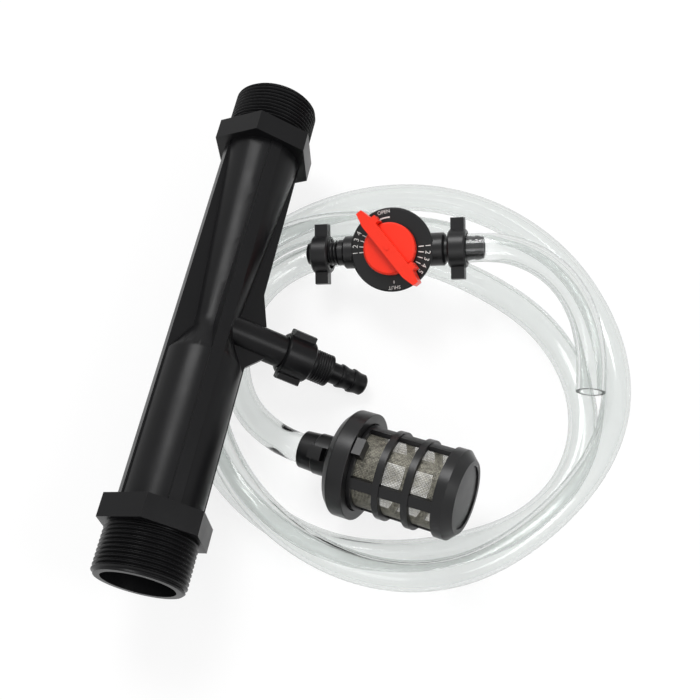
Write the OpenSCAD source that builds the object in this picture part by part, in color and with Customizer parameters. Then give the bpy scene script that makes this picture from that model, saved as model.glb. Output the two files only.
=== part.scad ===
// Venturi fertilizer injector, laid out with its suction line: a moulded venturi tube
// with a male pipe thread at each end and a suction fitting on its branch, a flow valve
// with a dial, clear hose, and a foot strainer. Sizes in millimetres.
// Origin: on the venturi's axis at the inlet hexagon's outer face, +Y to the outlet, +Z up.

/* [Venturi body] */
// Distance between the outer faces of the two hexagons
span = 240; // [210:1:280]
// Outside diameter of the pipe threads
thread_d = 47.8; // [46:0.1:54]
// Length of each pipe thread
thread_len = 25; // [15:0.5:35]
// Bevel at the start of each thread
thread_bevel = 1.2; // [0.5:0.1:2]
// Width across the flats of the hexagons
hex_af = 51; // [50:0.5:60]
// Width of each hexagon along the axis
hex_w = 12.5; // [8:0.5:18]
// Outside diameter of the barrel
barrel_d = 42.6; // [41:0.1:46]
// Bore of the barrel and the threads
bore_d = 38; // [34:0.5:39]
// From the inlet hexagon's outer face to the start of the cone
inlet_len = 95; // [70:1:110]
// Length of the converging cone
cone_len = 17; // [12:0.5:25]
// Length of the straight boss round the throat
boss_len = 7; // [5:0.5:12]
// Outside diameter of the boss round the throat
boss_d = 24; // [22:0.5:30]
// Bore of the throat
throat_d = 13; // [8:0.5:15]
// Thickness of the four fins
fin_t = 6.5; // [4:0.5:9]
// How far the fins stand above the barrel
fin_proud = 0.6; // [0.3:0.1:1.5]
// Rise of the long gusset on the outlet side of the branch
gusset_rise = 6; // [3:0.5:10]
// Length of the long gusset beyond the branch
gusset_run = 17; // [10:1:25]
// Size of the 45 degree gusset on the inlet side of the branch
gusset_low = 9.5; // [5:0.5:12]

/* [Suction fitting] */
// Outside diameter of the branch and of the barb's thread
branch_d = 18; // [16:0.5:20]
// From the venturi's axis to the union nut
branch_reach = 41; // [36:0.5:50]
// Length of branch inside the union nut
branch_grip = 6.5; // [4:0.5:8]
// Length of the union nut
union_len = 17; // [16:0.5:24]
// Outside diameter of the union nut
union_d = 23; // [22.5:0.5:28]
// Lug tip to lug tip across the union nut
union_lugs = 29; // [28.5:0.5:36]
// Width of each lug on the union nut
lug_w = 8; // [5:0.5:10]
// Turn of the lugs about the branch
lug_turn = 27; // [0:1:90]
// Length of thread that shows beyond the union nut
stem_len = 12; // [8:0.5:18]
// Pitch of the thread on the barb's stem
stem_pitch = 1.5; // [1:0.25:2]
// Depth of the thread on the barb's stem
stem_depth = 0.7; // [0.4:0.1:1]
// Length of the hose barb
barb_len = 23; // [18:0.5:30]
// Diameter of the hose barbs between their ridges
barb_d = 12; // [11:0.5:13]
// Diameter of the barbs' ridges
ridge_d = 13.6; // [13.2:0.2:14.4]
// Bore through the suction fitting
suction_bore = 7; // [5:0.5:8]
// Thickness of the sealing rings
gasket_t = 1.5; // [1:0.25:2]

/* [Flow valve] */
// Half of the valve's length, from the dial's axis to a barb's tip
valve_half = 50.7; // [48:0.1:60]
// Diameter of the dial disc
dial_d = 47; // [40:0.5:54]
// Thickness of the dial disc
dial_t = 3; // [2:0.25:4]
// Diameter of the round housing under the dial
housing_d = 22; // [20:0.5:26]
// Diameter of the collars on both sides of the dial
collar_d = 18.5; // [17:0.5:20]
// From the dial's axis to the end of a collar
collar_end = 29; // [27:0.5:30]
// Diameter of the valve's plug
plug_d = 15; // [13:0.5:16]
// Bore through the valve
valve_bore = 7; // [5:0.5:8]
// Diameter of the knob
knob_d = 29; // [24:0.5:34]
// Thickness of the knob's disc
knob_t = 7; // [5:0.5:9]
// Tip to tip length of the lever blade
lever_len = 51; // [44:0.5:58]
// Height of the lever blade above the dial
lever_h = 11.5; // [10:0.5:15]
// Width of the lever blade at its middle
lever_w = 7; // [5:0.5:9]
// Turn of the lever from the valve's axis
knob_turn = 128; // [90:1:180]

/* [Clamp nuts] */
// Outside diameter of the clamp nuts' hubs
clamp_d = 22; // [20:0.5:26]
// Length of the clamp nuts' hubs
clamp_len = 10; // [8:0.5:12]
// Wing tip to wing tip of the clamp nuts
clamp_wings = 34.6; // [30:0.2:40]
// Width of each wing along the nut
wing_w = 7.5; // [5:0.5:7.5]
// Thickness of each wing
wing_t = 7; // [5:0.5:9]
// Length of the strainer nut's sleeve
sleeve_len = 8; // [5:0.5:10]

/* [Strainer] */
// Diameter of the strainer's cap
cap_d = 57; // [54:0.5:64]
// Width of the cap's rim
cap_w = 13; // [11:0.5:18]
// Bevel on the cap's shoulder
cap_bevel = 4; // [2:0.5:5]
// Diameter of the cage
cage_d = 46; // [42:0.5:48]
// From the cap's rim to the cage's end face
cage_len = 56.5; // [46:0.5:70]
// Wall of the cage
cage_wall = 2.4; // [2:0.1:3]
// Length of the cage's closed end
cage_end = 10; // [8:0.5:14]
// Width of the cage's ribs
rib_w = 6; // [4:0.5:8]
// Width of the cage's rings
ring_w = 3.6; // [2.5:0.1:5]
// Number of rings between the rows of windows
ring_count = 2; // [1:1:3]
// Thickness of the mesh sleeve
mesh_t = 0.6; // [0.4:0.1:1]

/* [Hose] */
// Outside diameter of the hose
hose_od = 16; // [15.5:0.1:17]
// Outside diameter of the hose's coil
coil_d = 251; // [240:1:270]
// Diameter of the coil's open middle
coil_hole_d = 159; // [150:1:164]
// Radius of the turn that lies on the others
upper_turn_r = 107; // [105:0.5:110]

/* [Layout] */
// Angle of the valve's axis to the X axis
valve_az = 6; // [0:1:12]
// Slope of the valve's axis, right end raised
valve_el = 11.4; // [6:0.2:14]
// Turn of the dial towards the front
valve_roll = 27; // [15:1:35]
// Angle of the strainer's axis to the X axis
strainer_az = -11; // [-16:1:-6]
// Slope of the strainer's axis, closed end raised
strainer_el = 12.5; // [11:0.5:15]

/* [Hidden] */
$fn = 96;

black = "#1d1e20";
orange_red = "#f4452f";
clear_hose = "#d7e0dc";
grey_rubber = "#4a4a4a";
wire_grey = "#8d8a7e";

// Gaps between pieces: at rest on each other, in a screw thread, and on a turning fit
seat_gap = 0.3;
screw_gap = 0.2;
turn_gap = 0.05;
// Overlap of a cutting tool beyond the face that it cuts
cut = 1;

// Venturi stations along its axis
branch_at = inlet_len + cone_len + boss_len;
nozzle_lead = 3;
mixing_lead = 3;
mixing_d = throat_d + 2;
fin_r = barrel_d/2 + fin_proud;
hex_d = hex_af/cos(30);

// Suction fitting stations along the branch
union_end = branch_reach + union_len;
stem_at = branch_reach + branch_grip + gasket_t;
stem_end = union_end + stem_len;
barb_end = stem_end + barb_len;
barb_steps = [0.3, 0.62];
tip_bevel = 1.2;
edge_bevel = 1;

// The venturi lies on the coil's upper turn with the tip of its barb on the floor
nest_rise = 0.9*hose_od;
stack_h = hose_od + nest_rise;
rest_h = stack_h + seat_gap + barrel_d/2;
floor_z = -rest_h;
tip_r = barb_d/2;
roll = asin((rest_h - seat_gap)/norm([barb_end, tip_r])) - atan2(tip_r, barb_end);

// Flow valve heights above its axis
dial_z = 6.5;
dial_top = dial_z + dial_t;
knob_z = dial_top + seat_gap;
housing_drop = 12;
plug_drop = 9;
plug_r = plug_d/2;
seal_z = 6.2;
seal_t = 1.4;
seal_groove = 1.7;
drive_w = 8;
drive_h = 3;
lever_tip = 3.4;
lever_mid = 0.7;
stop_at = 0.65;
stop_w = 4;
stop_out = 2.2;
nub_d = 2.6;
nub_h = 0.6;
neck_d = 14.5;
neck_len = 3;
ridge_len = 4.5;
ridge_back = [9, 5];

// The left clamp nut hangs on its barb, the right one holds the short hose
clamp_bore = hose_od + 2*seat_gap;
clamp_drop = (clamp_bore - ridge_d)/2 - seat_gap;
left_nut_at = valve_half - 3.2;
right_nut_at = collar_end + 2;
sleeve_taper = 1;

// The valve lies with its left clamp nut on the coil
valve_xy = [85, 190];
valve_h = hose_od + seat_gap + (clamp_d/2 + clamp_drop)*cos(valve_el) + left_nut_at*sin(valve_el);

// The strainer stands on its cap's rim
strainer_xy = [81, 65];
cap_r = cap_d/2;
cap_floor = 4;
strainer_h = cap_r*cos(strainer_el) - cap_bevel*sin(strainer_el);
boss_thread_d = clamp_bore - 2*screw_gap;
boss_thread_len = 8;
spigot_len = 24;
spigot_steps = [0.4, 0.7];
spigot_nut_at = 5;
spigot_nut_turn = 20;
socket_d = cage_d + 2*seat_gap;
cage_at = cap_floor + gasket_t;
cage_tip = cap_w + cage_len;
cage_bore = cage_d - 2*cage_wall;
collar_w = 2;
row_len = (cage_len - cage_end - collar_w - ring_count*ring_w)/(ring_count + 1);
ring_proud = 0.6;
end_bevel = 4.5;
end_wall = 2.5;
end_recess = 0.8;
end_recess_d = 33;
tab_w = 9;
tab_len = 5;
tab_out = 4;
mesh_d = cage_bore - 2*screw_gap;

// The coil's floor layer is a ring, with one more turn that lies on it
coil_xy = [101, 133];
hole_xy = [103.5, 108.5];
hole_shift = 12.5;
upper_xy = [104, 126];
upper_from = 150;
upper_sweep = 175;
upper_z = stack_h - hose_od/2;

// A point on the axis of a sloping piece: X, Y and height above the floor
function axis_point(at, h, az, el, s) = [at.x + s*cos(el)*cos(az), at.y + s*cos(el)*sin(az), h + s*sin(el)];
function strainer_point(s) = axis_point(strainer_xy, strainer_h, strainer_az, strainer_el, s);
function valve_point(s) = axis_point(valve_xy, valve_h, valve_az, valve_el, s);

// Hose routes, from the barb that each hose is pushed on: X, Y and height above the floor
tail_route = concat(
    [for (s = [boss_thread_len + edge_bevel, 2*boss_thread_len, spigot_len]) strainer_point(-s)],
    [[46, 73, 18.5], [34, 79, 15.2], [24, 87, 12], [15, 97, 9.6], [8, 109, 8.4], [4, 122, 8], [2, 136, 8]]);
short_route = concat(
    [for (s = [collar_end + neck_len, valve_half - ridge_back[0], valve_half]) valve_point(s)],
    [[147.5, 193.5, 49.4], [160, 189.5, 49.3], [171, 182.5, 47.3], [180.5, 174, 43.8], [188.5, 163.5, 39.4],
        [195, 152.5, 34.4], [200, 140.5, 28.8], [203.5, 128, 24.6]]);
hose_sides = 12;

// Places
module venturi_axis() {
    rotate([0, roll, 0]) rotate([-90, 0, 0]) children();
}

module branch_axis() {
    venturi_axis() translate([0, 0, branch_at]) rotate([0, 90, 0]) children();
}

module valve_place() {
    translate([valve_xy.x, valve_xy.y, floor_z + valve_h])
        rotate([0, 0, valve_az]) rotate([0, -valve_el, 0]) rotate([valve_roll, 0, 0]) children();
}

module strainer_axis() {
    translate([strainer_xy.x, strainer_xy.y, floor_z + strainer_h])
        rotate([0, 0, strainer_az]) rotate([0, 90 - strainer_el, 0]) children();
}

module along_x() {
    rotate([0, 90, 0]) children();
}

// Shared shapes
module tube(outer_d, inner_d, h) {
    rotate_extrude() translate([inner_d/2, 0]) square([(outer_d - inner_d)/2, h]);
}

module bevelled_disc(d, h, bevel) {
    r = d/2;
    rotate_extrude()
        polygon([[0, 0], [r - bevel, 0], [r, bevel], [r, h - bevel], [r - bevel, h], [0, h]]);
}

// Points of a hose barb's outline, from its root to its tip
function barb_points(from, to, ridges) = [
    [barb_d/2, from],
    for (ridge = ridges) each [
        [barb_d/2, ridge], [ridge_d/2, ridge], [ridge_d/2, ridge + ridge_len/4], [barb_d/2, ridge + ridge_len]],
    [barb_d/2, to - tip_bevel],
    [barb_d/2 - tip_bevel, to]];

// Points of a ring thread's outline
function thread_points(r, from, to, pitch, depth) = [
    for (z = [from : pitch : to - pitch]) each [[r, z], [r, z + pitch/4], [r - depth, z + 5*pitch/8]]];

module wings(span_tips, width, thickness, h) {
    intersection() {
        cylinder(d = span_tips, h = h);
        translate([-span_tips/2, -thickness/2, (h - width)/2]) cube([span_tips, thickness, width]);
    }
}

module clamp_nut(sleeve) {
    difference() {
        union() {
            bevelled_disc(clamp_d, clamp_len, edge_bevel);
            wings(clamp_wings, wing_w, wing_t, clamp_len);
            translate([0, 0, -sleeve])
                cylinder(d1 = clamp_d - 2*sleeve_taper, d2 = clamp_d - sleeve_taper, h = sleeve + edge_bevel);
        }
        translate([0, 0, -sleeve - cut]) cylinder(d = clamp_bore, h = sleeve + clamp_len + 2*cut);
    }
}

// A tube of flat-sided rings along a route
function unit(v) = v/norm(v);
function heading(route, i) = unit(route[min(i + 1, len(route) - 1)] - route[max(i - 1, 0)]);
function hose_ring(route, i, r) =
    let (ahead = heading(route, i), side = unit(cross([0, 0, 1], ahead)), over = cross(ahead, side))
    [for (k = [0 : hose_sides - 1]) let (a = 360*k/hose_sides) route[i] + r*(cos(a)*side + sin(a)*over)];

module hose(route) {
    n = hose_sides;
    last = len(route) - 1;
    rings = [for (i = [0 : last]) each hose_ring(route, i, hose_od/2)];
    walls = [for (i = [0 : last - 1], k = [0 : n - 1])
        [i*n + k, (i + 1)*n + k, (i + 1)*n + (k + 1)%n, i*n + (k + 1)%n]];
    start_cap = [for (k = [0 : n - 1]) k];
    end_cap = [for (k = [n - 1 : -1 : 0]) last*n + k];
    translate([0, 0, floor_z]) polyhedron(rings, concat([start_cap], walls, [end_cap]));
}

// Venturi body
module body_outline() {
    t = thread_d/2;
    b = barrel_d/2;
    out_end = span + thread_len;
    polygon([
        [0, -thread_len], [t - thread_bevel, -thread_len], [t, thread_bevel - thread_len], [t, 0], [b, 0],
        [b, inlet_len], [boss_d/2, inlet_len + cone_len], [boss_d/2, branch_at], [b, span - hex_w],
        [b, span], [t, span], [t, out_end - thread_bevel], [t - thread_bevel, out_end], [0, out_end]]);
}

module flow_outline() {
    b = bore_d/2;
    polygon([
        [0, -thread_len - cut], [b, -thread_len - cut], [b, inlet_len - nozzle_lead],
        [throat_d/2, inlet_len + cone_len], [throat_d/2, branch_at - mixing_lead],
        [mixing_d/2, branch_at - mixing_lead], [mixing_d/2, branch_at + mixing_lead],
        [b, span - hex_w], [b, span + thread_len + cut], [0, span + thread_len + cut]]);
}

module fins() {
    for (turn = [0, 90])
        rotate([0, 0, turn]) translate([-fin_r, -fin_t/2, hex_w]) cube([2*fin_r, fin_t, span - 2*hex_w]);
}

module gussets() {
    r = branch_d/2;
    root = fin_r - fin_t;
    rotate([90, 0, 0]) linear_extrude(fin_t, center = true) polygon([
        [root, branch_at - r - gusset_low], [fin_r, branch_at - r - gusset_low],
        [fin_r + gusset_low, branch_at - r], [fin_r + gusset_low, branch_at],
        [fin_r + gusset_rise, branch_at], [fin_r + gusset_rise, branch_at + r],
        [fin_r, branch_at + r + gusset_run], [root, branch_at + r + gusset_run]]);
}

module venturi_body() {
    color(black) venturi_axis() difference() {
        union() {
            rotate_extrude() body_outline();
            for (at = [0, span - hex_w]) translate([0, 0, at]) cylinder(d = hex_d, h = hex_w, $fn = 6);
            fins();
            gussets();
            translate([0, 0, branch_at]) along_x() cylinder(d = branch_d, h = branch_reach + branch_grip);
        }
        rotate_extrude() flow_outline();
        translate([0, 0, branch_at]) along_x() cylinder(d = suction_bore, h = stem_at);
    }
}

// Suction fitting
module suction_gasket() {
    color(grey_rubber) branch_axis() translate([0, 0, branch_reach + branch_grip])
        tube(branch_d, suction_bore, gasket_t);
}

module suction_nut() {
    color(black) branch_axis() translate([0, 0, branch_reach]) difference() {
        union() {
            bevelled_disc(union_d, union_len, edge_bevel);
            rotate([0, 0, lug_turn]) wings(union_lugs, union_len - 4*edge_bevel, lug_w, union_len);
        }
        translate([0, 0, -cut]) cylinder(d = branch_d + 2*screw_gap, h = union_len + 2*cut);
    }
}

module suction_barb() {
    r = branch_d/2;
    ridges = [for (step = barb_steps) stem_end + barb_len*step];
    color(black) branch_axis() difference() {
        rotate_extrude() polygon(concat(
            [[0, stem_at], [r, stem_at]],
            thread_points(r, union_end + stem_pitch, stem_end - stem_pitch, stem_pitch, stem_depth),
            [[r, stem_end - stem_pitch], [r, stem_end]],
            barb_points(stem_end, barb_end, ridges),
            [[0, barb_end]]));
        translate([0, 0, stem_at - cut]) cylinder(d = suction_bore, h = barb_end - stem_at + 2*cut);
    }
}

// Flow valve
module valve_arm() {
    ridges = [for (back = ridge_back) valve_half - back];
    rotate_extrude() polygon(concat(
        [[0, 0], [collar_d/2, 0], [collar_d/2, collar_end - edge_bevel], [collar_d/2 - edge_bevel, collar_end],
            [neck_d/2, collar_end], [neck_d/2, collar_end + neck_len]],
        barb_points(collar_end + neck_len, valve_half, ridges),
        [[0, valve_half]]));
}

module valve_body() {
    color(black) valve_place() difference() {
        union() {
            translate([0, 0, -housing_drop]) cylinder(d = housing_d, h = housing_drop + dial_z);
            translate([0, 0, dial_z]) bevelled_disc(dial_d, dial_t, edge_bevel);
            for (turn = [0, 180]) rotate([0, 0, turn]) along_x() valve_arm();
        }
        translate([0, 0, -plug_drop]) cylinder(d = plug_d, h = plug_drop + dial_top + cut);
        along_x() cylinder(d = valve_bore, h = 2*(valve_half + cut), center = true);
    }
}

module valve_plug() {
    groove_r = plug_r - seal_t - turn_gap;
    color(black) valve_place() rotate([0, 0, knob_turn]) difference() {
        union() {
            translate([0, 0, turn_gap - plug_drop])
                cylinder(r = plug_r - turn_gap, h = plug_drop + knob_z - turn_gap);
            translate([-drive_w/2, -drive_w/2, knob_z - edge_bevel])
                cube([drive_w, drive_w, drive_h + edge_bevel]);
        }
        along_x() cylinder(d = valve_bore, h = 2*plug_d, center = true);
        for (side = [-1, 1])
            translate([0, 0, side*seal_z - seal_groove/2]) tube(2*plug_d, 2*groove_r, seal_groove);
    }
}

module plug_seals() {
    seal_r = plug_r - turn_gap - seal_t/2;
    color(grey_rubber) valve_place() for (side = [-1, 1])
        translate([0, 0, side*seal_z]) rotate_extrude() translate([seal_r, 0]) circle(d = seal_t);
}

module lever_outline() {
    l = lever_len/2;
    m = lever_mid*l;
    polygon([[-l, -lever_tip/2], [-m, -lever_w/2], [m, -lever_w/2], [l, -lever_tip/2],
        [l, lever_tip/2], [m, lever_w/2], [-m, lever_w/2], [-l, lever_tip/2]]);
    for (side = [-1, 1])
        translate([side*stop_at*l - stop_w/2, -lever_w/2 - stop_out]) square([stop_w, lever_w/2 + stop_out]);
}

module valve_knob() {
    socket_w = drive_w + 2*screw_gap;
    color(orange_red) valve_place() rotate([0, 0, knob_turn]) translate([0, 0, knob_z]) difference() {
        union() {
            bevelled_disc(knob_d, knob_t, edge_bevel);
            translate([0, 0, edge_bevel]) linear_extrude(lever_h - edge_bevel) lever_outline();
            cylinder(d = nub_d, h = lever_h + nub_h);
        }
        translate([-socket_w/2, -socket_w/2, -cut]) cube([socket_w, socket_w, drive_h + screw_gap + cut]);
    }
}

module valve_nut_left() {
    drop = clamp_drop;
    color(black) valve_place() translate([0, -drop*sin(valve_roll), -drop*cos(valve_roll)])
        translate([-left_nut_at, 0, 0]) along_x() rotate([0, 0, 90]) clamp_nut(0);
}

module valve_nut_right() {
    color(black) valve_place() translate([right_nut_at, 0, 0]) along_x() rotate([0, 0, 90]) clamp_nut(0);
}

// Strainer
module strainer_cap() {
    ridges = [for (step = spigot_steps) spigot_len*step];
    color(black) strainer_axis() difference() {
        union() {
            rotate_extrude() polygon([
                [0, 0], [cap_r - cap_bevel, 0], [cap_r, cap_bevel], [cap_r, cap_w], [socket_d/2, cap_w],
                [socket_d/2, cap_floor], [0, cap_floor]]);
            translate([0, 0, -boss_thread_len]) cylinder(d = boss_thread_d, h = boss_thread_len + edge_bevel);
            mirror([0, 0, 1]) rotate_extrude()
                polygon(concat([[0, 0]], barb_points(0, spigot_len, ridges), [[0, spigot_len]]));
        }
        translate([0, 0, -spigot_len - cut]) cylinder(d = suction_bore, h = spigot_len + cap_floor + 2*cut);
    }
}

module strainer_nut() {
    color(black) strainer_axis() translate([0, 0, -spigot_nut_at - clamp_len])
        rotate([0, 0, spigot_nut_turn]) clamp_nut(sleeve_len);
}

module strainer_gasket() {
    color(grey_rubber) strainer_axis() translate([0, 0, cap_floor]) tube(cage_d, cage_bore, gasket_t);
}

module cage_frame() {
    ring_d = cage_d + 2*ring_proud;
    translate([0, 0, cage_at]) tube(cage_d, cage_bore, cap_w + collar_w - cage_at);
    for (k = [1 : ring_count])
        translate([0, 0, cap_w + collar_w + k*row_len + (k - 1)*ring_w]) tube(ring_d, cage_bore, ring_w);
    intersection() {
        translate([0, 0, cage_at]) tube(cage_d, cage_bore, cage_tip - cage_end - cage_at + cut);
        for (turn = [45, 135]) rotate([0, 0, turn]) translate([-cage_d/2, -rib_w/2, cage_at])
            cube([cage_d, rib_w, cage_len + cap_w]);
    }
}

module cage_cup() {
    r = cage_d/2 + ring_proud;
    foot = cage_tip - cage_end;
    rotate_extrude() polygon([
        [cage_bore/2, foot], [r, foot], [r, cage_tip - end_bevel], [r - end_bevel, cage_tip],
        [end_recess_d/2, cage_tip], [end_recess_d/2, cage_tip - end_recess], [0, cage_tip - end_recess],
        [0, cage_tip - end_bevel - end_wall], [cage_bore/2, cage_tip - end_bevel - end_wall]]);
}

module strainer_cage() {
    color(black) strainer_axis() {
        cage_frame();
        cage_cup();
        rotate([0, 0, 180]) translate([cage_d/2 - cage_wall, -tab_w/2, cap_w + seat_gap])
            cube([cage_wall + tab_out, tab_w, tab_len]);
    }
}

module strainer_mesh() {
    color(wire_grey) strainer_axis() translate([0, 0, cage_at])
        tube(mesh_d, mesh_d - 2*mesh_t, cage_tip - end_bevel - end_wall - cage_at - screw_gap);
}

// Hose
module hose_coil() {
    r = coil_d/2;
    color(clear_hose) translate([0, 0, floor_z]) {
        difference() {
            translate(coil_xy) rotate_extrude() {
                square([r - hose_od/2, hose_od]);
                translate([r - hose_od/2, hose_od/2]) intersection() {
                    circle(d = hose_od);
                    translate([0, -hose_od/2]) square(hose_od);
                }
            }
            translate([hole_xy.x, hole_xy.y, -cut]) {
                for (side = [-1, 1])
                    translate([side*hole_shift, 0, 0]) cylinder(d = coil_hole_d, h = hose_od + 2*cut);
                translate([-hole_shift, -coil_hole_d/2, 0])
                    cube([2*hole_shift, coil_hole_d, hose_od + 2*cut]);
            }
        }
        translate([upper_xy.x, upper_xy.y, upper_z]) rotate([0, 0, upper_from])
            rotate_extrude(angle = upper_sweep) translate([upper_turn_r, 0]) circle(d = hose_od);
    }
}

module hose_tail() {
    color(clear_hose) hose(tail_route);
}

module valve_hose() {
    color(clear_hose) hose(short_route);
}

venturi_body();
suction_gasket();
suction_nut();
suction_barb();
valve_body();
valve_plug();
plug_seals();
valve_knob();
valve_nut_left();
valve_nut_right();
strainer_cap();
strainer_nut();
strainer_gasket();
strainer_cage();
strainer_mesh();
hose_coil();
hose_tail();
valve_hose();
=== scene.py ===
"""Looks of a venturi fertilizer injector on its packed CAD frame: moulded black plastic with rounded edges and pipe
threads, a printed dial under an orange-red knob, a wire mesh strainer, and clear hose in a coil."""

import math

import bmesh
import bpy
import numpy as np
from bpy.props import FloatProperty, FloatVectorProperty, IntProperty, PointerProperty
from bpy.types import Operator, Panel, PropertyGroup
from mathutils import Matrix, Vector


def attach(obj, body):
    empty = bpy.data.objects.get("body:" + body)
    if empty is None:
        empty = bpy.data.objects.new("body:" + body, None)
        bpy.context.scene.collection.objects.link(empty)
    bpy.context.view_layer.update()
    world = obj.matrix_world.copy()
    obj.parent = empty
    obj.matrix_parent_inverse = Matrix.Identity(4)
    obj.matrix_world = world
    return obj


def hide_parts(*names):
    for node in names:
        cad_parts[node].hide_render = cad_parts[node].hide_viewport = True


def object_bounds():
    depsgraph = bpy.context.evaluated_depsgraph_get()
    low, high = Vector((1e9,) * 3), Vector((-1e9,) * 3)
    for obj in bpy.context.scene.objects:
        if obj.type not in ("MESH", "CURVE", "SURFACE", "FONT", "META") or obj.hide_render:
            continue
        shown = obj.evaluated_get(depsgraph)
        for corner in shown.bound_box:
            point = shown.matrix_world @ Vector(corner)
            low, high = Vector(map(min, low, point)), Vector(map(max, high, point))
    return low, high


bl_info = {
    "name": "Venturi Fertilizer Injector",
    "version": (1, 0, 0),
    "blender": (4, 5, 0),
    "location": "View3D > Sidebar > Injector",
    "description": "Dresses a venturi injector with its valve, hose and strainer",
    "category": "Object",
}

MM = 0.001
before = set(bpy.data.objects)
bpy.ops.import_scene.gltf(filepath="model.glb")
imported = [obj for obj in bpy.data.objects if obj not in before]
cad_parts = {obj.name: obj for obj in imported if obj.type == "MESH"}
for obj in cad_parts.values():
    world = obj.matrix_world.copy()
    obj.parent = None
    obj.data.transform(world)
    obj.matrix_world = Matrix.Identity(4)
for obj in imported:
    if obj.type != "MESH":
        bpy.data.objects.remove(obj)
CAD_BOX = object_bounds()
FLOOR = CAD_BOX[0].z

# Sizes and places that part.scad gives, in millimetres
SPAN = 240
THREAD_R = 23.9
THREAD_LEN = 25
BORE_R = 19
DIAL_TOP = 9.5
BOSS_THREAD_R = 8.1
BOSS_THREAD_LEN = 8
MESH_R = 20.4
MESH_FROM = 5.5
MESH_TO = 62.3
# Points along the strainer's spigot and along the valve's right barb that the hoses pass
SPIGOT_STOPS = (9, 16, 24)
BARB_STOPS = (32, 41.7, 50.7)

# Sizes of what is added here, in millimetres
NECK_ROOT_R = 5.9
NECK_THREAD_R = 7.2
NECK_THREAD_FROM = 32.2
NECK_THREAD_TO = 40.5
BOSS_ROOT_R = 7.2
SMALL_PITCH = 2
SMALL_STEPS = 48
HAIR = 0.02
PRINT_LIFT = 0.05
# Radius of the hose's bore where a barb stretches it
SOCKET_R = 7.3


def turned(angle, axis):
    return Matrix.Rotation(math.radians(angle), 4, axis)


def placed(x, y, height):
    return Matrix.Translation((x * MM, y * MM, FLOOR + height * MM))


ALONG_Y = turned(-90, "X")
OUTLET = Matrix.Translation((0, SPAN * MM, 0)) @ ALONG_Y
INLET = turned(90, "X")
VALVE = placed(85, 190, 37.65) @ turned(6, "Z") @ turned(-11.4, "Y") @ turned(27, "X")
STRAINER = placed(81, 65, 26.96) @ turned(-11, "Z") @ turned(77.5, "Y")

# The suction hose's route after the strainer: X, Y and height above the floor
TAIL_ROUTE = [(46.1, 73.2, 18.5), (36.5, 78.2, 15.6), (27.5, 84.6, 12.8), (19.5, 92.6, 10.5)]
# The coil, in steps of 14 degrees from 194 degrees on: radius and height above the floor
COIL_CENTRE = (104, 126)
COIL_FROM = 194
COIL_STEP = -14
COIL_TURNS = [
    (94.3, 8.9), (99, 8), (101.8, 8), (101.6, 8), (97.6, 8), (91.1, 8), (84.6, 8), (79.1, 8), (75.9, 8),
    (75.3, 8), (77.4, 8), (81.9, 8), (87.4, 8), (93.4, 8), (99, 8), (102.9, 8), (104.4, 8), (103.3, 8),
    (100.8, 8), (100, 8), (101.6, 8), (104.6, 8), (107.6, 8), (111, 8), (114.7, 8), (117.8, 8), (120.1, 8),
    (121.2, 8), (121.9, 8), (122.1, 8), (121.9, 8), (121.9, 8), (122.1, 8), (122, 8), (121.1, 8), (119.5, 8),
    (118, 8), (116.8, 8), (116.3, 8.5), (115.5, 11.5), (113.9, 17.4), (112.4, 21.8), (111.6, 23.3),
    (112.4, 21.9), (114, 18.9), (114.6, 17.6), (114.2, 19.5), (113, 22.2), (111.4, 23.9), (110.1, 24.1),
    (109.4, 23), (109.6, 21.6), (110.4, 21.4), (111.1, 21.7), (112, 21.9), (111.7, 21.2), (108.3, 16.8),
    (103.6, 12.1), (100, 8.4), (98.3, 8)]
# The coil's free end, behind the valve's right nut: X, Y and height above the floor
COIL_END = (117.6, 223, 8)
# The short hose's route after the valve's barb: X, Y and height above the floor
SHORT_ROUTE = [
    (148.3, 195, 49.7), (162, 191.7, 50.1), (174.5, 185.5, 48.9), (185.1, 176.6, 45.9), (193.2, 165.9, 41.1),
    (198.8, 154, 35), (202.1, 141.6, 29.5), (203.5, 129, 26.6)]

# Radius of the rounded edges of each moulded piece, in millimetres
EDGE_RADII = {
    "venturi_body": 0.5, "suction_nut": 0.6, "suction_barb": 0.15, "valve_body": 0.35, "valve_knob": 0.7,
    "valve_nut_left": 0.6, "valve_nut_right": 0.6, "strainer_cap": 0.5, "strainer_nut": 0.5, "strainer_cage": 0.4}
FITTINGS = ["suction_nut", "suction_barb", "valve_nut_left", "valve_nut_right", "strainer_nut", "strainer_cage"]
INNER_BLACK = ["valve_plug"]
INNER_RUBBER = ["suction_gasket", "plug_seals", "strainer_gasket"]

# The camera of the photograph: place in mm, and the directions to its right and up
CAMERA_AT = (145.2, -138.5, 535.4)
CAMERA_RIGHT = (0.979, 0.203, -0.032)
CAMERA_UP = (-0.168, 0.881, 0.443)


class PlasticSettings(PropertyGroup):
    """Finish of the moulded pieces"""

    black: FloatVectorProperty(
        name="Black", description="Colour of the black plastic", subtype="COLOR", size=4,
        default=(0.005, 0.005, 0.0055, 1))
    orange: FloatVectorProperty(
        name="Orange", description="Colour of the knob", subtype="COLOR", size=4, default=(0.82, 0.028, 0.009, 1))
    rubber: FloatVectorProperty(
        name="Rubber", description="Colour of the sealing rings", subtype="COLOR", size=4,
        default=(0.03, 0.03, 0.03, 1))
    gloss: FloatProperty(
        name="Roughness", description="Roughness of the black plastic", subtype="FACTOR", min=0, max=1, default=0.33)


class ThreadSettings(PropertyGroup):
    """Pipe threads of the venturi tube"""

    pitch: FloatProperty(
        name="Pitch", description="Distance between crests", unit="LENGTH", default=2.309 * MM)
    depth: FloatProperty(
        name="Depth", description="Height of the crests over the roots", unit="LENGTH", default=1.48 * MM)
    steps: IntProperty(name="Steps", description="Facets in each turn", default=72)


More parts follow.
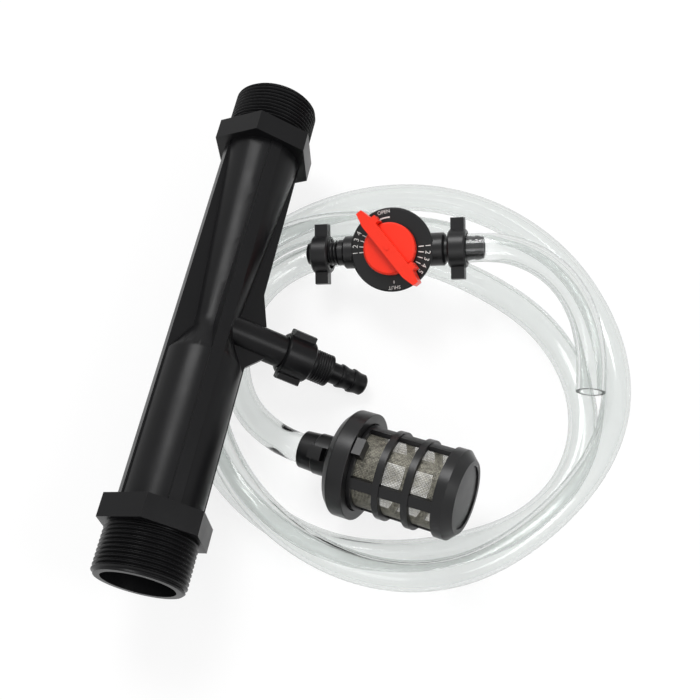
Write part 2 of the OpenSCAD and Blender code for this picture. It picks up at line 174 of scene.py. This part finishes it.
class DialSettings(PropertyGroup):
    """Print on the valve's dial"""

    ink: FloatVectorProperty(
        name="Ink", description="Colour of the print", subtype="COLOR", size=4, default=(0.62, 0.62, 0.6, 1))
    number_size: FloatProperty(
        name="Number size", description="Height of the numbers", unit="LENGTH", default=4.1 * MM)
    word_size: FloatProperty(
        name="Word size", description="Height of the words", unit="LENGTH", default=2.8 * MM)


class HoseSettings(PropertyGroup):
    """Clear hose"""

    diameter: FloatProperty(
        name="Diameter", description="Outside diameter of the hose", unit="LENGTH", default=16 * MM)
    bore: FloatProperty(
        name="Bore", description="Inside diameter of the hose", unit="LENGTH", default=12 * MM)
    tint: FloatVectorProperty(
        name="Tint", description="Colour that each skin of the hose lets through", subtype="COLOR", size=4,
        default=(0.96, 0.967, 0.964, 1))
    # Painted shade: the skin's darker colour at a slant stands in for dark surroundings seen through the hose's edges
    edge: FloatVectorProperty(
        name="Edge", description="Colour of the hose's skin where it is seen at a slant", subtype="COLOR", size=4,
        default=(0.3, 0.33, 0.32, 1))
    wall: FloatVectorProperty(
        name="Wall", description="Colour of the light that the hose's wall lets through", subtype="COLOR", size=4,
        default=(0.36, 0.42, 0.39, 1))
    density: FloatProperty(
        name="Density", description="How much light a metre of the hose's wall takes up", default=66)
    taper: FloatVectorProperty(
        name="Taper", description="Where the hose's bore starts and ends to narrow behind a barb", unit="LENGTH",
        size=2, default=(20 * MM, 34 * MM))
    sides: IntProperty(name="Sides", description="Facets round the hose", default=40)
    spacing: FloatProperty(
        name="Spacing", description="Distance between rings of the hose's mesh", unit="LENGTH", default=1.6 * MM)


class StrainerSettings(PropertyGroup):
    """Wire mesh of the foot strainer"""

    wire: FloatVectorProperty(
        name="Wire", description="Colour of the wire", subtype="COLOR", size=4, default=(0.22, 0.21, 0.17, 1))
    wire_pitch: FloatProperty(
        name="Wire pitch", description="Distance between wires", unit="LENGTH", default=0.8 * MM)


class StageSettings(PropertyGroup):
    """Floor, light and camera"""

    floor: FloatVectorProperty(
        name="Floor", description="Colour of the floor", subtype="COLOR", size=4, default=(0.92, 0.92, 0.92, 1))
    floor_size: FloatProperty(name="Floor size", description="Side of the floor", unit="LENGTH", default=8)
    lens: FloatProperty(name="Lens", description="Focal length in millimetres", default=58.4)


def new_material(name):
    material = bpy.data.materials.new(name)
    material.use_nodes = True
    return material, material.node_tree, material.node_tree.nodes["Principled BSDF"]


def add_node(tree, kind, **values):
    node = tree.nodes.new(kind)
    for name, value in values.items():
        setattr(node, name, value)
    return node


def math_node(tree, operation, *values):
    node = add_node(tree, "ShaderNodeMath", operation=operation)
    for socket, value in zip(node.inputs, values):
        if isinstance(value, bpy.types.NodeSocket):
            tree.links.new(value, socket)
        else:
            socket.default_value = value
    return node.outputs["Value"]


def object_noise(tree, scale, detail=2.0):
    """The value of a noise on Object coordinates."""
    place = add_node(tree, "ShaderNodeTexCoord")
    noise = add_node(tree, "ShaderNodeTexNoise")
    noise.inputs["Scale"].default_value = scale
    noise.inputs["Detail"].default_value = detail
    tree.links.new(place.outputs["Object"], noise.inputs["Vector"])
    return noise.outputs["Fac"]


def add_bump(tree, surface, height, strength, distance):
    bump = add_node(tree, "ShaderNodeBump")
    bump.inputs["Strength"].default_value = strength
    bump.inputs["Distance"].default_value = distance * MM
    tree.links.new(height, bump.inputs["Height"])
    tree.links.new(bump.outputs["Normal"], surface.inputs["Normal"])


def new_group(name, inputs, outputs):
    group = bpy.data.node_groups.new(name, "ShaderNodeTree")
    for socket, kind, default in inputs:
        made = group.interface.new_socket(socket, in_out="INPUT", socket_type=kind)
        if default is not None:
            made.default_value = default
    for socket, kind in outputs:
        group.interface.new_socket(socket, in_out="OUTPUT", socket_type=kind)
    return group, group.nodes.new("NodeGroupInput"), group.nodes.new("NodeGroupOutput")


def moulded_grain():
    """A node group for moulded surfaces: slow colour drift, uneven gloss and a fine spark-eroded grain."""
    if "Moulded Grain" in bpy.data.node_groups:
        return bpy.data.node_groups["Moulded Grain"]
    group, given, result = new_group(
        "Moulded Grain",
        [
            ("Color", "NodeSocketColor", None), ("Roughness", "NodeSocketFloat", 0.35),
            ("Drift", "NodeSocketFloat", 0.25)],
        [("Color", "NodeSocketColor"), ("Roughness", "NodeSocketFloat"), ("Height", "NodeSocketFloat")])
    swing = math_node(group, "SUBTRACT", object_noise(group, scale=60, detail=4), 0.5)
    shade = math_node(group, "MULTIPLY", swing, given.outputs["Drift"])
    tone = add_node(group, "ShaderNodeHueSaturation")
    group.links.new(given.outputs["Color"], tone.inputs["Color"])
    group.links.new(math_node(group, "ADD", shade, 1.0), tone.inputs["Value"])
    group.links.new(tone.outputs["Color"], result.inputs["Color"])
    uneven = math_node(group, "MULTIPLY", swing, 0.22)
    group.links.new(math_node(group, "ADD", given.outputs["Roughness"], uneven), result.inputs["Roughness"])
    group.links.new(object_noise(group, scale=2200), result.inputs["Height"])
    return group


def moulded_plastic(name, color, roughness, drift, grain, sheen=0.5):
    material, tree, surface = new_material(name)
    surface.inputs["Specular IOR Level"].default_value = sheen
    finish = add_node(tree, "ShaderNodeGroup", node_tree=moulded_grain())
    finish.inputs["Color"].default_value = color
    finish.inputs["Roughness"].default_value = roughness
    finish.inputs["Drift"].default_value = drift
    tree.links.new(finish.outputs["Color"], surface.inputs["Base Color"])
    tree.links.new(finish.outputs["Roughness"], surface.inputs["Roughness"])
    add_bump(tree, surface, finish.outputs["Height"], strength=grain, distance=0.1)
    return material


def clear_pvc(hose):
    """Clear soft PVC: a skin with faint waves and painted shade that darkens it at a slant, standing in for dark
    surroundings seen through the hose's edges, and a wall that takes up a little light.
    """
    material, tree, surface = new_material("Clear hose")
    surface.inputs["IOR"].default_value = 1.5
    surface.inputs["Transmission Weight"].default_value = 1
    surface.inputs["Specular Tint"].default_value = (0.5, 0.5, 0.5, 1)
    waves = object_noise(tree, scale=70)
    uneven = math_node(tree, "MULTIPLY", waves, 0.08)
    tree.links.new(math_node(tree, "ADD", uneven, 0.03), surface.inputs["Roughness"])
    add_bump(tree, surface, waves, strength=0.05, distance=0.3)
    # Painted shade: Layer Weight darkens the skin toward the edge colour at a slant, in place of dark surroundings
    # seen through the hose's edges
    slant = add_node(tree, "ShaderNodeLayerWeight")
    slant.inputs["Blend"].default_value = 0.5
    skin = add_node(tree, "ShaderNodeMix", data_type="RGBA")
    skin.inputs["A"].default_value = hose.tint
    skin.inputs["B"].default_value = hose.edge
    tree.links.new(math_node(tree, "POWER", slant.outputs["Facing"], 5.0), skin.inputs["Factor"])
    tree.links.new(skin.outputs["Result"], surface.inputs["Base Color"])
    path = add_node(tree, "ShaderNodeLightPath")
    shade = math_node(tree, "MULTIPLY", path.outputs["Is Shadow Ray"], 0.9)
    tree.links.new(math_node(tree, "SUBTRACT", 1.0, shade), surface.inputs["Alpha"])
    wall = add_node(tree, "ShaderNodeVolumeAbsorption")
    wall.inputs["Color"].default_value = hose.wall
    wall.inputs["Density"].default_value = hose.density
    tree.links.new(wall.outputs["Volume"], tree.nodes["Material Output"].inputs["Volume"])
    return material


def woven_wire(color, columns, rows):
    """Stained plain weave on the sleeve's UV map, with open gaps between the wires."""
    material, tree, surface = new_material("Woven wire")
    place = add_node(tree, "ShaderNodeUVMap", uv_map="Weave")
    parts = add_node(tree, "ShaderNodeSeparateXYZ")
    tree.links.new(place.outputs["UV"], parts.inputs["Vector"])
    waves = []
    for axis, count in (("X", columns), ("Y", rows)):
        angle = math_node(tree, "MULTIPLY", parts.outputs[axis], math.pi * count)
        waves.append(math_node(tree, "ABSOLUTE", math_node(tree, "SINE", angle)))
    height = math_node(tree, "MAXIMUM", *waves)
    wire = math_node(tree, "GREATER_THAN", height, 0.88)
    tree.links.new(wire, surface.inputs["Alpha"])
    add_bump(tree, surface, height, strength=0.6, distance=0.2)
    stain = object_noise(tree, scale=650, detail=4)
    tone = add_node(tree, "ShaderNodeHueSaturation")
    tone.inputs["Color"].default_value = color
    tree.links.new(math_node(tree, "MULTIPLY_ADD", stain, 3.2, -0.6), tone.inputs["Value"])
    tree.links.new(tone.outputs["Color"], surface.inputs["Base Color"])
    surface.inputs["Roughness"].default_value = 0.45
    surface.inputs["Metallic"].default_value = 0.3
    return material


def printed_ink(color):
    material, tree, surface = new_material("Dial ink")
    finish = add_node(tree, "ShaderNodeGroup", node_tree=moulded_grain())
    finish.inputs["Color"].default_value = color
    finish.inputs["Roughness"].default_value = 0.5
    tree.links.new(finish.outputs["Color"], surface.inputs["Base Color"])
    tree.links.new(finish.outputs["Roughness"], surface.inputs["Roughness"])
    return material


def black_plastic(scene, polished=False):
    """The venturi tube's plain black, or the more polished black of the valve and the strainer."""
    settings = scene.injector_plastic
    name, sheen = ("Polished black plastic", 0.3) if polished else ("Black plastic", 0.14)
    return bpy.data.materials.get(name) or moulded_plastic(
        name, settings.black, settings.gloss, drift=0.3, grain=0.12, sheen=sheen)


def finished(name, mesh, material, body, nodes=()):
    """Makes a bmesh a piece that rides on a body and stands for CAD nodes."""
    data = bpy.data.meshes.new(name)
    mesh.to_mesh(data)
    mesh.free()
    data.shade_smooth()
    piece = bpy.data.objects.new(name, data)
    bpy.context.scene.collection.objects.link(piece)
    data.materials.append(material)
    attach(piece, body)
    if nodes:
        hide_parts(*nodes)
    return piece


def weighted(piece):
    """Keeps wide faces flat beside their rounded edges."""
    normals = piece.modifiers.new("Face weights", "WEIGHTED_NORMAL")
    normals.keep_sharp = True
    return piece


def merged_copy(node):
    mesh = bmesh.new()
    mesh.from_mesh(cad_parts[node].data)
    for face in mesh.faces:
        face.material_index = 0
    bmesh.ops.remove_doubles(mesh, verts=mesh.verts, dist=0.004 * MM)
    bmesh.ops.dissolve_limit(mesh, angle_limit=math.radians(0.5), verts=mesh.verts, edges=mesh.edges)
    return mesh


def round_edges(mesh, node, skip=None):
    sharp = math.radians(32)
    edges = [
        edge for edge in mesh.edges
        if edge.is_manifold and edge.calc_face_angle() > sharp and not (skip and skip(edge))]
    bmesh.ops.bevel(
        mesh, geom=edges, offset=EDGE_RADII[node] * MM, offset_type="OFFSET", affect="EDGES", segments=2, profile=0.5,
        material=-1, clamp_overlap=True)
    return mesh


def screw_thread(root, crest, pitch, start, end, steps, lead=False):
    """A helical thread along +Z, cut flat at both ends. With a lead, its crests fall away to its end."""
    mesh = bmesh.new()
    land = pitch / 8
    profile = [
        (root, 0), (root, land), (crest, pitch / 2 - land / 2), (crest, pitch / 2 + land / 2), (root, pitch - land),
        (root, pitch)]
    turns = math.ceil((end - start) / pitch) + 2
    verts = [mesh.verts.new((r, 0, start - pitch + z)) for r, z in profile]
    edges = [mesh.edges.new(pair) for pair in zip(verts, verts[1:])]
    bmesh.ops.spin(
        mesh, geom=verts + edges, cent=(0, 0, 0), axis=(0, 0, 1), dvec=(0, 0, pitch / steps),
        angle=2 * math.pi * turns, steps=steps * turns, use_merge=False)
    bmesh.ops.remove_doubles(mesh, verts=mesh.verts, dist=0.002 * MM)
    for height, above in ((start, False), (end, True)):
        bmesh.ops.bisect_plane(
            mesh, geom=mesh.verts[:] + mesh.edges[:] + mesh.faces[:], plane_co=(0, 0, height),
            plane_no=(0, 0, 1), clear_outer=above, clear_inner=not above)
    for vert in mesh.verts:
        across = math.hypot(vert.co.x, vert.co.y)
        limit = root + max(0.0, end - vert.co.z) if lead else crest
        if across > limit:
            vert.co.xy *= limit / across
    bmesh.ops.recalc_face_normals(mesh, faces=mesh.faces)
    if sum(face.normal.xy.dot(face.calc_center_median().xy) for face in mesh.faces) < 0:
        bmesh.ops.reverse_faces(mesh, faces=mesh.faces)
    return mesh


def add_to(mesh, other, place):
    """Moves another bmesh to its place and joins it on."""
    bmesh.ops.transform(other, matrix=place, verts=other.verts)
    data = bpy.data.meshes.new("part")
    other.to_mesh(data)
    other.free()
    mesh.from_mesh(data)
    bpy.data.meshes.remove(data)


def in_thread(co):
    """Whether a point of the venturi tube lies on the plain wall that a pipe thread takes the place of."""
    across = math.hypot(co.x, co.z)
    on_wall = BORE_R * MM + MM < across < THREAD_R * MM + 0.05 * MM
    return on_wall and not HAIR * MM < co.y < SPAN * MM - HAIR * MM


class INJECTOR_OT_venturi(Operator):
    """Venturi tube with rounded mouldings and a helical pipe thread at each end"""

    bl_idname = "injector.venturi"
    bl_label = "Venturi tube"

    def execute(self, context):
        thread = context.scene.injector_thread
        mesh = merged_copy("venturi_body")
        root = THREAD_R * MM - thread.depth
        for vert in mesh.verts:
            if in_thread(vert.co):
                vert.co.xz *= (root - HAIR * MM) / math.hypot(vert.co.x, vert.co.z)
        round_edges(mesh, "venturi_body", lambda edge: any(in_thread(vert.co) for vert in edge.verts))
        for place in (INLET, OUTLET):
            sleeve = screw_thread(
                root, THREAD_R * MM, thread.pitch, HAIR * MM, THREAD_LEN * MM - HAIR * MM, thread.steps, lead=True)
            add_to(mesh, sleeve, place)
        weighted(finished(
            "venturi_tube", mesh, black_plastic(context.scene), "injector", ["venturi_body"]))
        return {"FINISHED"}


class INJECTOR_OT_fittings(Operator):
    """Nuts, barb and strainer cage with rounded edges, and the pieces inside"""

    bl_idname = "injector.fittings"
    bl_label = "Fittings"

    def execute(self, context):
        for node in FITTINGS:
            mesh = round_edges(merged_copy(node), node)
            black = black_plastic(context.scene, polished=not node.startswith("suction"))
            weighted(finished(node + "_moulded", mesh, black, "injector", [node]))
        rubber = moulded_plastic("Rubber", context.scene.injector_plastic.rubber, roughness=0.6, drift=0.3, grain=0.2)
        for nodes, material in ((INNER_BLACK, black), (INNER_RUBBER, rubber)):
            for node in nodes:
                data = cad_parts[node].data
                data.materials.clear()
                data.materials.append(material)
        return {"FINISHED"}


class INJECTOR_OT_valve(Operator):
    """Valve housing with threaded necks, its printed dial and the knob"""

    bl_idname = "injector.valve"
    bl_label = "Flow valve"

    # The dial's scales: angle of the first mark, number of marks
    SCALES = [(4, 6), (184, 4)]
    MARK_STEP = 10.5
    WORDS = [("OPEN", 101), ("SHUT", -86)]
    # Places of the print across the dial and its sizes, in millimetres
    TICK_R = 16.9
    TICK_LEN = 3
    TICK_WIDTH = 0.55
    NUMBER_R = 20.6
    WORD_R = 21.2
    ARROW_HALF = 0.4

    def execute(self, context):
        black = black_plastic(context.scene, polished=True)
        mesh = round_edges(merged_copy("valve_body"), "valve_body")
        for side in (90, -90):
            neck = screw_thread(
                NECK_ROOT_R * MM, NECK_THREAD_R * MM, SMALL_PITCH * MM, NECK_THREAD_FROM * MM, NECK_THREAD_TO * MM,
                SMALL_STEPS)
            add_to(mesh, neck, VALVE @ turned(side, "Y"))
        weighted(finished("valve_housing", mesh, black, "injector", ["valve_body"]))
        settings = context.scene.injector_plastic
        orange = moulded_plastic(
            "Orange plastic", settings.orange, roughness=0.34, drift=0.12, grain=0.1, sheen=0.3)
        knob = round_edges(merged_copy("valve_knob"), "valve_knob")
        weighted(finished("knob", knob, orange, "knob", ["valve_knob"]))
        self.print_dial(context)
        return {"FINISHED"}

    def print_dial(self, context):
        dial = context.scene.injector_dial
        mesh = bmesh.new()
        for first, count in self.SCALES:
            for k in range(count):
                angle = first - self.MARK_STEP * k
                self.tick(mesh, angle, self.TICK_R, self.TICK_LEN)
                self.word(mesh, str(k + 1), angle, self.NUMBER_R, dial.number_size)
        for text, angle in self.WORDS:
            self.word(mesh, text, angle, self.WORD_R, dial.word_size)
        self.arrow(mesh, start=112, end=92, radius=18)
        self.tick(mesh, angle=-86, radius=18.2, length=1.6)
        lift = Matrix.Translation((0, 0, (DIAL_TOP + PRINT_LIFT) * MM))
        bmesh.ops.transform(mesh, matrix=VALVE @ lift, verts=mesh.verts)
        finished("dial_print", mesh, printed_ink(dial.ink), "injector")

    def tick(self, mesh, angle, radius, length):
        mark = bmesh.new()
        bmesh.ops.create_grid(mark, x_segments=1, y_segments=1, size=0.5)
        bmesh.ops.scale(mark, vec=(length * MM, self.TICK_WIDTH * MM, 1), verts=mark.verts)
        add_to(mesh, mark, turned(angle, "Z") @ Matrix.Translation((radius * MM, 0, 0)))

    def arrow(self, mesh, start, end, radius):
        band = bmesh.new()
        ends = [band.verts.new(((radius + side) * MM, 0, 0)) for side in (-self.ARROW_HALF, self.ARROW_HALF)]
        edge = band.edges.new(ends)
        bmesh.ops.spin(
            band, geom=ends + [edge], cent=(0, 0, 0), axis=(0, 0, 1), angle=math.radians(end - start), steps=8)
        bmesh.ops.recalc_face_normals(band, faces=band.faces)
        add_to(mesh, band, turned(start, "Z"))

    def word(self, mesh, text, angle, radius, size):
        curve = bpy.data.curves.new("print", "FONT")
        curve.body = text
        curve.size = size
        curve.align_x = "CENTER"
        curve.align_y = "CENTER"
        holder = bpy.data.objects.new("print", curve)
        data = bpy.data.meshes.new_from_object(holder)
        mark = bmesh.new()
        mark.from_mesh(data)
        add_to(mesh, mark, turned(angle, "Z") @ Matrix.Translation((radius * MM, 0, 0)) @ turned(-90, "Z"))
        bpy.data.objects.remove(holder)
        bpy.data.curves.remove(curve)
        bpy.data.meshes.remove(data)


class INJECTOR_OT_strainer(Operator):
    """Strainer cap with its threaded boss, and the wire mesh sleeve"""

    bl_idname = "injector.strainer"
    bl_label = "Foot strainer"

    def execute(self, context):
        mesh = round_edges(merged_copy("strainer_cap"), "strainer_cap")
        boss = screw_thread(
            BOSS_ROOT_R * MM, BOSS_THREAD_R * MM, SMALL_PITCH * MM, 0.1 * MM, (BOSS_THREAD_LEN - 0.2) * MM,
            SMALL_STEPS)
        add_to(mesh, boss, STRAINER @ turned(180, "X"))
        black = black_plastic(context.scene, polished=True)
        weighted(finished("strainer_cap_moulded", mesh, black, "injector", ["strainer_cap"]))
        self.weave(context)
        return {"FINISHED"}

    def weave(self, context):
        strainer = context.scene.injector_strainer
        length = (MESH_TO - MESH_FROM) * MM
        round_length = 2 * math.pi * MESH_R * MM
        mesh = bmesh.new()
        bmesh.ops.create_circle(mesh, segments=96, radius=MESH_R * MM)
        grown = bmesh.ops.extrude_edge_only(mesh, edges=mesh.edges)
        top = [item for item in grown["geom"] if isinstance(item, bmesh.types.BMVert)]
        bmesh.ops.translate(mesh, verts=top, vec=(0, 0, length))
        layer = mesh.loops.layers.uv.new("Weave")
        for face in mesh.faces:
            middle = face.calc_center_median()
            turn = math.atan2(middle.y, middle.x)
            for loop in face.loops:
                here = math.atan2(loop.vert.co.y, loop.vert.co.x)
                here += 2 * math.pi * round((turn - here) / (2 * math.pi))
                loop[layer].uv = (here / (2 * math.pi), loop.vert.co.z / length)
        bmesh.ops.recalc_face_normals(mesh, faces=mesh.faces)
        bmesh.ops.transform(
            mesh, matrix=STRAINER @ Matrix.Translation((0, 0, MESH_FROM * MM)), verts=mesh.verts)
        material = woven_wire(
            strainer.wire, round(round_length / strainer.wire_pitch), round(length / strainer.wire_pitch))
        finished("wire_mesh", mesh, material, "injector", ["strainer_mesh"])


def smooth_route(points, spacing):
    """Points at even steps on the natural cubic spline through the given ones."""
    points = np.array(points, float)
    steps = np.linalg.norm(np.diff(points, axis=0), axis=1)
    at = np.concatenate([[0], np.cumsum(steps)])
    count = len(points)
    system, slopes = np.eye(count), np.zeros((count, 3))
    for i in range(1, count - 1):
        before, after = steps[i - 1], steps[i]
        system[i, i - 1:i + 2] = before, 2 * (before + after), after
        slopes[i] = 6 * ((points[i + 1] - points[i]) / after - (points[i] - points[i - 1]) / before)
    bends = np.linalg.solve(system, slopes)
    route = []
    for here in np.linspace(0, at[-1], round(at[-1] / spacing) + 1):
        i = min(max(np.searchsorted(at, here, "right") - 1, 0), count - 2)
        step, left, right = steps[i], at[i + 1] - here, here - at[i]
        route.append(Vector(
            (bends[i] * left**3 + bends[i + 1] * right**3) / (6 * step)
            + (points[i] / step - bends[i] * step / 6) * left
            + (points[i + 1] / step - bends[i + 1] * step / 6) * right))
    return route


def tube(mesh, route, radii, sides):
    """Adds an open tube along a route to a bmesh."""
    curve = bpy.data.curves.new("route", "CURVE")
    curve.dimensions = "3D"
    curve.twist_mode = "Z_UP"
    curve.bevel_depth = 1
    curve.bevel_resolution = sides // 2 - 2
    line = curve.splines.new("POLY")
    line.points.add(len(route) - 1)
    for point, place, radius in zip(line.points, route, radii):
        point.co = (*place, 1)
        point.radius = radius
    holder = bpy.data.objects.new("route", curve)
    data = bpy.data.meshes.new_from_object(holder)
    mesh.from_mesh(data)
    bpy.data.objects.remove(holder)
    bpy.data.curves.remove(curve)
    bpy.data.meshes.remove(data)


class INJECTOR_OT_hoses(Operator):
    """Clear suction hose in its coil, and the short clear hose on the valve"""

    bl_idname = "injector.hoses"
    bl_label = "Clear hoses"

    def execute(self, context):
        material = clear_pvc(context.scene.injector_hose)
        on_spigot = [STRAINER @ Vector((0, 0, -s * MM)) for s in SPIGOT_STOPS]
        coil = []
        for step, (radius, height) in enumerate(COIL_TURNS):
            angle = math.radians(COIL_FROM + COIL_STEP * step)
            coil.append((
                COIL_CENTRE[0] + radius * math.cos(angle), COIL_CENTRE[1] + radius * math.sin(angle), height))
        floor_points = [Vector((x * MM, y * MM, FLOOR + h * MM)) for x, y, h in TAIL_ROUTE + coil + [COIL_END]]
        self.lay_hose(
            context, "suction_hose", on_spigot + floor_points, material, "coiled", ["hose_coil", "hose_tail"])
        on_barb = [VALVE @ Vector((s * MM, 0, 0)) for s in BARB_STOPS]
        short = [Vector((x * MM, y * MM, FLOOR + h * MM)) for x, y, h in SHORT_ROUTE]
        self.lay_hose(context, "short_hose", on_barb + short, material, "loose", ["valve_hose"])
        return {"FINISHED"}

    def lay_hose(self, context, name, points, material, lay, nodes):
        hose = context.scene.injector_hose
        route = smooth_route(points, hose.spacing)
        bores = []
        for i in range(len(route)):
            narrowed = min(max((i * hose.spacing - hose.taper[0]) / (hose.taper[1] - hose.taper[0]), 0), 1)
            bores.append(SOCKET_R * MM + (hose.bore / 2 - SOCKET_R * MM) * narrowed**2 * (3 - 2 * narrowed))
        mesh = bmesh.new()
        tube(mesh, route, bores, hose.sides)
        bmesh.ops.reverse_faces(mesh, faces=mesh.faces)
        tube(mesh, route, [hose.diameter / 2] * len(route), hose.sides)
        for end in (route[0], route[-1]):
            rims = [
                edge for edge in mesh.edges
                if edge.is_boundary and (edge.verts[0].co - end).length < hose.diameter]
            bmesh.ops.bridge_loops(mesh, edges=rims)
        bmesh.ops.recalc_face_normals(mesh, faces=mesh.faces)
        for edge in mesh.edges:
            edge.smooth = edge.calc_face_angle() < math.radians(60)
        piece = finished(name, mesh, material, "injector", nodes)


class INJECTOR_OT_stage(Operator):
    """Plain white floor, soft studio light and the photograph's camera"""

    bl_idname = "injector.stage"
    bl_label = "Stage"

    # Lamps: place in metres, size in metres, power in watts
    LAMPS = [
        ((-0.25, 0.55, 0.95), 0.45, 6.5),
        ((0.75, -0.1, 0.7), 0.4, 3),
        ((0.1, -0.7, 0.75), 0.5, 2)]
    AIM = Vector((0.09, 0.12, -0.03))
    # Strength of the sky as a light, and what it gains where it is seen
    SKY = 0.55
    SEEN_SKY = 0.45
    # Share of plain white in the floor where it is seen
    FLOOR_WHITE = 0.8
    # Bounces of light, enough to see through the coil
    BOUNCES = 24

    def execute(self, context):
        scene = context.scene
        self.lay_floor(scene)
        self.light(scene)
        self.aim_camera(scene)
        scene.view_settings.view_transform = "Standard"
        for kind in ("max_bounces", "transmission_bounces", "transparent_max_bounces"):
            setattr(scene.cycles, kind, self.BOUNCES)
        return {"FINISHED"}

    def seen_white(self, tree):
        """Value 1 on camera, glossy and transmitted rays, and 0 on others."""
        path = add_node(tree, "ShaderNodeLightPath")
        seen = math_node(tree, "MAXIMUM", path.outputs["Is Camera Ray"], path.outputs["Is Glossy Ray"])
        return math_node(tree, "MAXIMUM", seen, path.outputs["Is Transmission Ray"])

    def lay_floor(self, scene):
        stage = scene.injector_stage
        mesh = bmesh.new()
        bmesh.ops.create_grid(mesh, x_segments=1, y_segments=1, size=stage.floor_size / 2)
        bmesh.ops.translate(mesh, verts=mesh.verts, vec=(0, 0, FLOOR - 0.1 * MM))
        data = bpy.data.meshes.new("floor")
        mesh.to_mesh(data)
        mesh.free()
        floor = bpy.data.objects.new("floor", data)
        scene.collection.objects.link(floor)
        material, tree, surface = new_material("White floor")
        surface.inputs["Base Color"].default_value = stage.floor
        surface.inputs["Roughness"].default_value = 0.9
        surface.inputs["Specular IOR Level"].default_value = 0.1
        white = add_node(tree, "ShaderNodeEmission")
        mix = add_node(tree, "ShaderNodeMixShader")
        tree.links.new(math_node(tree, "MULTIPLY", self.seen_white(tree), self.FLOOR_WHITE), mix.inputs["Fac"])
        tree.links.new(surface.outputs["BSDF"], mix.inputs[1])
        tree.links.new(white.outputs["Emission"], mix.inputs[2])
        tree.links.new(mix.outputs["Shader"], tree.nodes["Material Output"].inputs["Surface"])
        data.materials.append(material)

    def light(self, scene):
        world = bpy.data.worlds.new("Studio")
        scene.world = world
        world.use_nodes = True
        tree = world.node_tree
        sky = tree.nodes["Background"]
        sky.inputs["Color"].default_value = (1, 1, 1, 1)
        seen = math_node(tree, "MULTIPLY", self.seen_white(tree), self.SEEN_SKY)
        tree.links.new(math_node(tree, "ADD", seen, self.SKY), sky.inputs["Strength"])
        for k, (place, size, power) in enumerate(self.LAMPS):
            lamp = bpy.data.lights.new(f"softbox_{k + 1}", "AREA")
            lamp.energy = power
            lamp.size = size
            holder = bpy.data.objects.new(lamp.name, lamp)
            scene.collection.objects.link(holder)
            holder.location = place
            holder.rotation_euler = (self.AIM - Vector(place)).to_track_quat("-Z", "Y").to_euler()

    def aim_camera(self, scene):
        camera = bpy.data.cameras.new("camera")
        camera.lens = scene.injector_stage.lens
        camera.clip_start, camera.clip_end = 0.01, 50
        holder = bpy.data.objects.new("camera", camera)
        scene.collection.objects.link(holder)
        right = Vector(CAMERA_RIGHT).normalized()
        back = right.cross(Vector(CAMERA_UP)).normalized()
        turn = Matrix((right, back.cross(right), back)).transposed().to_4x4()
        holder.matrix_world = Matrix.Translation(Vector(CAMERA_AT) * MM) @ turn
        scene.camera = holder


OPERATORS = (
    INJECTOR_OT_venturi, INJECTOR_OT_fittings, INJECTOR_OT_valve, INJECTOR_OT_strainer, INJECTOR_OT_hoses,
    INJECTOR_OT_stage)

SETTINGS = {
    "injector_plastic": PlasticSettings, "injector_thread": ThreadSettings, "injector_dial": DialSettings,
    "injector_hose": HoseSettings, "injector_strainer": StrainerSettings, "injector_stage": StageSettings}


class INJECTOR_PT_panel(Panel):
    """Lists the steps that dress the injector"""

    bl_idname = "INJECTOR_PT_panel"
    bl_label = "Venturi injector"
    bl_space_type = "VIEW_3D"
    bl_region_type = "UI"
    bl_category = "Injector"

    def draw(self, context):
        for operator in OPERATORS:
            self.layout.operator(operator.bl_idname)
        for name, kind in SETTINGS.items():
            box = self.layout.box()
            box.label(text=kind.__doc__)
            for key in kind.__annotations__:
                box.prop(getattr(context.scene, name), key)


def register():
    for name, kind in SETTINGS.items():
        bpy.utils.register_class(kind)
        setattr(bpy.types.Scene, name, PointerProperty(type=kind))
    for kind in OPERATORS + (INJECTOR_PT_panel,):
        bpy.utils.register_class(kind)


def unregister():
    for kind in (INJECTOR_PT_panel,) + OPERATORS[::-1]:
        bpy.utils.unregister_class(kind)
    for name, kind in SETTINGS.items():
        delattr(bpy.types.Scene, name)
        bpy.utils.unregister_class(kind)


def main():
    register()
    bpy.ops.injector.venturi()
    bpy.ops.injector.fittings()
    bpy.ops.injector.valve()
    bpy.ops.injector.strainer()
    bpy.ops.injector.hoses()
    bpy.ops.injector.stage()


if __name__ == "__main__":
    main()
